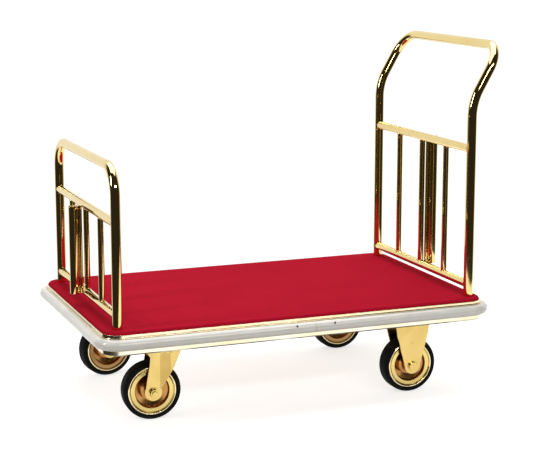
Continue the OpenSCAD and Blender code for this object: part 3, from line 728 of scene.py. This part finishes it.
def dress_hoop(end, x):
    """Rails, spindles, outer tubes and welds of one hoop."""
    welds = []
    rail_z = []
    rail_r = np.ptp(np.array(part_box(f"mid_rail_{end}")), 0)[2] / 2
    for kind in ("mid", "bottom"):
        node = f"{kind}_rail_{end}"
        z = box_middle(node)[2]
        rail_z.append(z)
        tube = straight_tube([x, -POST_Y, z], [x, POST_Y, z], rail_r)
        made(f"{kind}_rail_{end}_tube", tube, BRASS_TUBE, node)
        for side in (-1, 1):
            welds.append(
                saddle_bead([x, side * POST_Y, z], [0, -side, 0], [0, 0, 1], rail_r, TUBE_R)
            )
    top, bottom = rail_z
    for place in ("near", "middle", "far"):
        node = f"spindle_{end}_{place}"
        radius = np.ptp(np.array(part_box(node)), 0)[0] / 2
        y = box_middle(node)[1]
        tube = straight_tube([x, y, bottom], [x, y, top], radius, 40)
        made(f"{node}_tube", tube, BRASS_TUBE, node)
        welds.append(saddle_bead([x, y, bottom], [0, 0, 1], [0, 1, 0], radius, rail_r))
        welds.append(saddle_bead([x, y, top], [0, 0, -1], [0, 1, 0], radius, rail_r))
    for node, depth in ((f"pole_socket_{end}", 200 * MM), (f"spacer_tube_{end}", 30 * MM)):
        low, high = box_corners(node)
        middle = (low + high) / 2
        path = straight_path([*middle[:2], low[2]], [*middle[:2], high[2]], 12)
        made(f"{node}_tube", hollow_tube(path, (high - low)[0] / 2, depth), BRASS_TUBE, node)
    finish_piece(
        f"welds_{end}", mesh_from(f"welds_{end}", *joined(welds)), BRASS_TUBE, [f"hoop_{end}"]
    )


low_path = hoop_path(LOW_X, HOOP_LOW[2], HOOP_HIGH[2] - TUBE_R)
made("hoop_low_tube", hollow_tube(low_path, TUBE_R), BRASS_TUBE, "hoop_low")
handle_path = hoop_path(
    HANDLE_X, HANDLE_LOW[2], HANDLE_HIGH[2] - TUBE_R,
    HANDLE_HIGH[0] - TUBE_R - HANDLE_X, HANDLE_LEAN,
)
made("hoop_handle_tube", hollow_tube(handle_path, TUBE_R), BRASS_TUBE, "hoop_handle")
dress_hoop("low", LOW_X)
dress_hoop("handle", HANDLE_X)


# ---------------------------------------------------------------- deck edge


def deck_edge(start=0.0, gap=0.0, grow=0.0):
    """Points round the board's edge and the directions straight out from it. The line
    starts on the near side at `start`, from the deck's middle, runs anticlockwise and ends
    where it started, or short of it by `gap`. Each corner is a quarter circle."""
    spots = [np.array([[start + gap / 2, -HALF_W]])]
    outs = [np.array([[0, -1.0]])]
    for sx, sy, angle in ((1, -1, -90), (1, 1, 0), (-1, 1, 90), (-1, -1, 180)):
        middle = np.array([sx * (HALF_L - DECK_R), sy * (HALF_W - DECK_R)])
        turn = np.radians(np.linspace(angle, angle + 90, 19))
        out = np.stack([np.cos(turn), np.sin(turn)], 1)
        bend = middle + DECK_R * out
        share = np.linspace(0, 1, 26)[1:-1, None]
        spots += [spots[-1][-1] * (1 - share) + bend[0] * share, bend]
        outs += [np.repeat(out[:1], 24, 0), out]
    share = np.linspace(0, 1, 14)[1:, None]
    finish = np.array([start - gap / 2, -HALF_W])
    spots.append(spots[-1][-1] * (1 - share) + finish * share)
    outs.append(np.repeat([[0, -1.0]], 13, 0))
    spots, outs = np.concatenate(spots), np.concatenate(outs)
    if not gap:
        spots, outs = spots[:-1], outs[:-1]
    level = np.zeros((len(spots), 1))
    centre = np.append(spots + DECK_MIDDLE[:2], level, 1)
    return centre, np.append(outs, level, 1), np.tile([0, 0, 1.0], (len(spots), 1))


def outline_with_round_corners(corners, radius, steps=4):
    """A closed outline whose corners are replaced by round ones of about the given radius:
    each is the curve (1−s)²·start + 2s(1−s)·corner + s²·end, with one more point on the
    flat beside each end, so that the flats stay flat."""
    corners = np.asarray(corners, float)
    before, after = np.roll(corners, 1, 0), np.roll(corners, -1, 0)
    first = (before - corners) / np.linalg.norm(before - corners, axis=1)[:, None]
    second = (after - corners) / np.linalg.norm(after - corners, axis=1)[:, None]
    half = np.arccos(np.clip(np.sum(first * second, 1), -1, 1)) / 2
    cut = (radius / np.tan(half))[:, None]
    share = np.linspace(0, 1, steps)[None, :, None]
    start, end = corners + first * cut, corners + second * cut
    curve = (
        (1 - share) ** 2 * start[:, None]
        + 2 * share * (1 - share) * corners[:, None]
        + share**2 * end[:, None]
    )
    beside = [(corners + way * cut * 1.3)[:, None] for way in (first, second)]
    return np.concatenate([beside[0], curve, beside[1]], 1).reshape(-1, 2)


SKIRT_T = SKIRT_HIGH[0] - BOARD_HIGH[0]
FOOT_OUT = TRIM_HIGH[0] - BOARD_HIGH[0]
BUMPER_OUT = BUMPER_HIGH[0] - BOARD_HIGH[0]
FIT_GAP = 0.02 * MM
JOINT_X = 23 * MM
JOINT_GAP = 0.8 * MM
SCREW_GAP = 104 * MM
SCREW_RISE = 8 * MM
SCREW_HOLE_R = 3 * MM
SCREW_HOLE_OUT = 80 * MM
SCREW_HOLE_IN = 5 * MM

EDGE = deck_edge()
trim_outline = outline_with_round_corners(
    [
        (0, TRIM_LOW[2]), (FOOT_OUT, TRIM_LOW[2]), (FOOT_OUT, TRIM_LOW[2] + 2 * MM),
        (SKIRT_T, TRIM_LOW[2] + 2.6 * MM), (SKIRT_T, TRIM_HIGH[2]), (0, TRIM_HIGH[2]),
    ],
    0.55 * MM,
)
made("deck_trim_strip", carried(*EDGE, trim_outline, ring=True), BRASS_EDGE, "deck_trim")
skirt_outline = outline_with_round_corners(
    [(0, SKIRT_LOW[2]), (SKIRT_T, SKIRT_LOW[2]), (SKIRT_T, SKIRT_HIGH[2]), (0, SKIRT_HIGH[2])],
    0.6 * MM,
)
made("frame_skirt_strip", carried(*EDGE, skirt_outline, ring=True), BRASS_SKIRT, "frame_skirt")


def bumper_strip():
    """A half-round strip against the skirt, whose nose is a half circle, open at a butt
    joint on the near side, with two screw holes bored in from outside."""
    nose = arc([BUMPER_OUT - BUMPER_R, BUMPER_Z], BUMPER_R, -90, 90, 37)
    heel = SKIRT_T + FIT_GAP
    section = np.concatenate(
        [[[heel, BUMPER_Z - BUMPER_R + 0.2 * MM]], nose, [[heel, BUMPER_Z + BUMPER_R - 0.2 * MM]]]
    )
    points, faces = carried(*deck_edge(JOINT_X, JOINT_GAP), section)
    piece = made("bumper_strip", (points, faces), VINYL, "bumper")
    middle_x = DECK_MIDDLE[0] + JOINT_X
    cutters = []
    for side in (-1, 1):
        place = [middle_x + side * SCREW_GAP / 2, 0, BUMPER_Z + SCREW_RISE]
        outside, inside = -HALF_W - SCREW_HOLE_OUT, -HALF_W - SCREW_HOLE_IN
        hole, hole_faces, _ = turned(
            [(0, outside), (SCREW_HOLE_R, outside), (SCREW_HOLE_R, inside), (0, inside)],
            place, (0, 1, 0), 24,
        )
        cutters.append((hole, hole_faces))
    data = mesh_from("screw_holes", *joined(cutters))
    cutter = bpy.data.objects.new("screw_holes", data)
    bpy.context.scene.collection.objects.link(cutter)
    boring = piece.modifiers.new("screw_holes", "BOOLEAN")
    boring.operation = "DIFFERENCE"
    boring.solver = "EXACT"
    boring.object = cutter
    graph = bpy.context.evaluated_depsgraph_get()
    bored = bpy.data.meshes.new_from_object(piece.evaluated_get(graph))
    piece.modifiers.clear()
    piece.data = bored
    bpy.data.objects.remove(cutter)


bumper_strip()


# ---------------------------------------------------------------- carpet


def carpet_sheet():
    """The glued carpet as one sheet. Its top is a grid whose corner squares are drawn into
    quarter circles: a point at shares u, v of the square goes to u√(1−v²/2), v√(1−u²/2).
    Beyond the grid's border the sheet rolls over an edge of CARPET_ROLL and goes straight
    down to the board. The pile is uneven by a fraction of a millimetre, from a sum of
    waves, and sinks a little against each post."""
    pitch = 5 * MM
    reach = np.array([HALF_L, HALF_W]) - CARPET_ROLL
    corner = DECK_R - CARPET_ROLL
    bend = 8

    def stations(half):
        run = half - corner
        inner = np.linspace(-run, run, int(2 * run / pitch))
        outer = run + corner * np.linspace(0, 1, bend + 1)[1:]
        return np.concatenate([-outer[::-1], inner, outer])

    xs, ys = stations(reach[0]), stations(reach[1])
    x, y = np.meshgrid(xs, ys, indexing="ij")
    u = np.clip((np.abs(x) - reach[0] + corner) / corner, 0, 1)
    v = np.clip((np.abs(y) - reach[1] + corner) / corner, 0, 1)
    both = (u > 0) & (v > 0)
    px = np.where(both, reach[0] - corner + corner * u * np.sqrt(1 - v**2 / 2), np.abs(x))
    py = np.where(both, reach[1] - corner + corner * v * np.sqrt(1 - u**2 / 2), np.abs(y))
    px, py = np.sign(x) * px, np.sign(y) * py
    waves = sum(
        np.sin(px * a + py * b + c)
        for a, b, c in ((310, 170, 0.3), (-190, 420, 1.1), (520, -260, 2.0), (140, 610, 4.2))
    )
    broad = np.sin(px * 9 + 1) * np.sin(py * 13 + 0.4)
    fade = np.clip(np.minimum(reach[0] - np.abs(px), reach[1] - np.abs(py)) / (12 * MM), 0, 1)
    z = CARPET_HIGH[2] - 0.5 * MM + fade * (0.07 * waves + 0.18 * broad) * MM
    for post_x in (LOW_X - DECK_MIDDLE[0], HANDLE_X - DECK_MIDDLE[0]):
        for side in (-1, 1):
            away = np.hypot(px - post_x, py - side * POST_Y) - TUBE_R
            z = z - 2.0 * MM * np.exp(-np.clip(away, 0, None) / (2.5 * MM))
    rows, columns = px.shape
    top = np.stack([px, py, z], -1)
    number = np.arange(rows * columns).reshape(rows, columns)
    border = np.concatenate(
        [number[:-1, 0], number[-1, :-1], number[:0:-1, -1], number[0, :0:-1]]
    )
    rim = top.reshape(-1, 3)[border]
    heart = np.stack(
        [np.clip(rim[:, 0], corner - reach[0], reach[0] - corner),
         np.clip(rim[:, 1], corner - reach[1], reach[1] - corner)], 1
    )
    out = rim[:, :2] - heart
    out /= np.linalg.norm(out, axis=1)[:, None]
    roll = np.radians(np.linspace(0, 90, 10)[1:])
    shift = np.append(CARPET_ROLL * np.sin(roll), [CARPET_ROLL] * 2)
    drop = np.append(CARPET_ROLL * (1 - np.cos(roll)), [10 * MM, rim[0, 2] - CARPET_LOW[2]])
    skirts = [
        np.column_stack([rim[:, :2] + s * out, rim[:, 2] - d]) for s, d in zip(shift, drop)
    ]
    points = np.concatenate([top.reshape(-1, 3)] + skirts)
    points[:, :2] += DECK_MIDDLE[:2]
    faces = quads(rows, columns)
    loops = [border] + [
        rows * columns + k * len(border) + np.arange(len(border)) for k in range(len(skirts))
    ]
    for first, second in zip(loops, loops[1:]):
        faces += np.stack(
            [first, second, np.roll(second, -1), np.roll(first, -1)], 1
        ).tolist()
    faces.append(loops[-1].tolist())
    return points, faces


carpet = made("carpet_sheet", carpet_sheet(), CARPET, "carpet", crease=80)


# ---------------------------------------------------------------- wheels

RIM_HALF = np.ptp(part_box("fixed_rim_near"), axis=0) / 2
TYRE_HALF = np.ptp(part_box("fixed_tyre_near"), axis=0) / 2
RIM_R, HUB_E = RIM_HALF[2], RIM_HALF[1]
TYRE_R, TYRE_E = TYRE_HALF[2], TYRE_HALF[1]
SLEEVE_R = 8 * MM


def mirrored(half):
    """A profile loop from its half on one side of the wheel's middle plane."""
    half = np.asarray(half, float)
    return np.concatenate([half, (half * [1, -1])[::-1]])


RIM_SECTION = mirrored([
    (SLEEVE_R + 0.05 * MM, HUB_E), (16.5 * MM, HUB_E), (19 * MM, HUB_E - 1.5 * MM),
    (20 * MM, 8 * MM), (27 * MM, 6 * MM), (RIM_R - 20 * MM, 9 * MM),
    (RIM_R - 18 * MM, TYRE_E - 3 * MM), (RIM_R - 16.5 * MM, TYRE_E - 2.4 * MM),
    (RIM_R - 7.5 * MM, TYRE_E - 3.4 * MM), (RIM_R - 6.5 * MM, TYRE_E - 5.5 * MM),
    (RIM_R - 5 * MM, TYRE_E - 5.5 * MM), (RIM_R - 4 * MM, TYRE_E - 1.6 * MM),
    (RIM_R - 2.9 * MM, TYRE_E - 0.7 * MM), (RIM_R - 1.6 * MM, TYRE_E - 0.6 * MM),
    (RIM_R - 0.1 * MM, TYRE_E - 1.6 * MM), (RIM_R - 0.1 * MM, TYRE_E - 3 * MM),
    (RIM_R - 2 * MM, TYRE_E - 3 * MM),
])
TYRE_SECTION = mirrored([
    (RIM_R - 1.9 * MM, TYRE_E - 3.1 * MM), (RIM_R + 0.3 * MM, TYRE_E - 2.9 * MM),
    (RIM_R + 1.1 * MM, TYRE_E - 1.4 * MM), (RIM_R + 2.8 * MM, TYRE_E),
    (RIM_R + 4.6 * MM, TYRE_E - 0.3 * MM), (RIM_R + 5.0 * MM, TYRE_E - 0.8 * MM),
    (RIM_R + 5.6 * MM, TYRE_E - 0.8 * MM), (RIM_R + 6.8 * MM, TYRE_E - 0.7 * MM),
    (TYRE_R - 1.6 * MM, TYRE_E - 3 * MM), (TYRE_R - 0.4 * MM, TYRE_E - 6 * MM),
    (TYRE_R, TYRE_E - 9 * MM), (TYRE_R, 0.5 * MM),
])
# radii of the rim's bands: painted shade goes on the dish and the groove, a painted highlight on the lip
WHEEL_BANDS = {
    "shaded_dish": (0, RIM_R - 17.8 * MM),
    "shaded_groove": (RIM_R - 7 * MM, RIM_R - 4.5 * MM),
    "lip": (RIM_R - 4.2 * MM, RIM_R),
}


def joint_axis(name):
    """The unit axis of a joint, in the frame at rest."""
    return np.array(JOINTS[name]["axis"], float)


def dress_wheel(kind, side):
    """Turned rim and tyre of one wheel, on the axis of its own joint. Each of the rim's
    WHEEL_BANDS attributes is 1 at the radii that the band spans, and 0 elsewhere."""
    rim, tyre = f"{kind}_rim_{side}", f"{kind}_tyre_{side}"
    centre, axis = box_middle(rim), joint_axis(f"{kind}_{side}_roll")
    # the far wheels take the darker copy, painted shade for their place under the deck
    brass = BRASS_WHEEL if side == "near" else SHADED_WHEEL_BRASS
    disc = made(f"{rim}_disc", turned(RIM_SECTION, centre, axis), brass, rim,
                bevel=0.45 * MM, crease=20)
    places = np.zeros(3 * len(disc.data.vertices))
    disc.data.vertices.foreach_get("co", places)
    spoke = places.reshape(-1, 3) - centre
    spoke -= np.outer(spoke @ axis, axis)
    radius = np.linalg.norm(spoke, axis=1)
    for band, (low, high) in WHEEL_BANDS.items():
        share = disc.data.attributes.new(band, "FLOAT", "POINT")
        inside = (radius >= low) & (radius <= high)
        share.data.foreach_set("value", inside.astype(np.float32))
    made(f"{tyre}_band", turned(TYRE_SECTION, centre, axis, 160), RUBBER, tyre,
         bevel=0.4 * MM, crease=28)


def dress_fork(side):
    """Pressed fork. Its painted shade attribute is 1 on the panels between a leg's two folds,
    which lean 6 to 18 degrees from the leg, and 0 elsewhere."""
    fork = rounded_copy(f"swivel_fork_{side}", BRASS_SHEET, 0.9 * MM)
    normals = np.zeros(3 * len(fork.data.polygons))
    fork.data.polygons.foreach_get("normal", normals)
    lean = np.degrees(np.arccos(np.clip(
        np.abs(normals.reshape(-1, 3) @ joint_axis(f"swivel_{side}_roll")), 0, 1
    )))
    share = fork.data.attributes.new("panel", "FLOAT", "FACE")
    share.data.foreach_set("value", ((lean > 6) & (lean < 18)).astype(np.float32))


for side in ("near", "far"):
    dress_wheel("swivel", side)
    dress_wheel("fixed", side)


# ---------------------------------------------------------------- pressed and bolted parts

for side in ("near", "far"):
    rounded_copy(f"swivel_plate_{side}", BRASS_SHEET, 0.6 * MM)
    dress_fork(side)
    rounded_copy(f"fixed_bracket_{side}", BRASS_SHEET, 0.9 * MM)
    rounded_copy(f"kingpin_{side}", ZINC, 0.4 * MM)
    rounded_copy(f"side_rail_{side}", ZINC, 0.5 * MM)
    for kind in ("swivel", "fixed"):
        rounded_copy(f"{kind}_axle_{side}", BRASS_SHEET, 0.5 * MM)
        rounded_copy(f"{kind}_nut_{side}", BRASS_SHEET, 0.5 * MM)
        rounded_copy(f"{kind}_sleeve_{side}", ZINC, 0.3 * MM)
rounded_copy("cross_member_swivel", ZINC, 0.6 * MM)
rounded_copy("cross_member_fixed", ZINC, 0.6 * MM)
rounded_copy("post_flanges_low", ZINC, 0.6 * MM)
rounded_copy("post_flanges_handle", ZINC, 0.6 * MM)
rounded_copy("flange_screws", ZINC, 0.3 * MM)
rounded_copy("caster_bolts", ZINC, 0.4 * MM)
rounded_copy("bumper_screws", DARK_STEEL, 0.4 * MM)
rounded_copy("deck_board", PLYWOOD, 0.5 * MM)
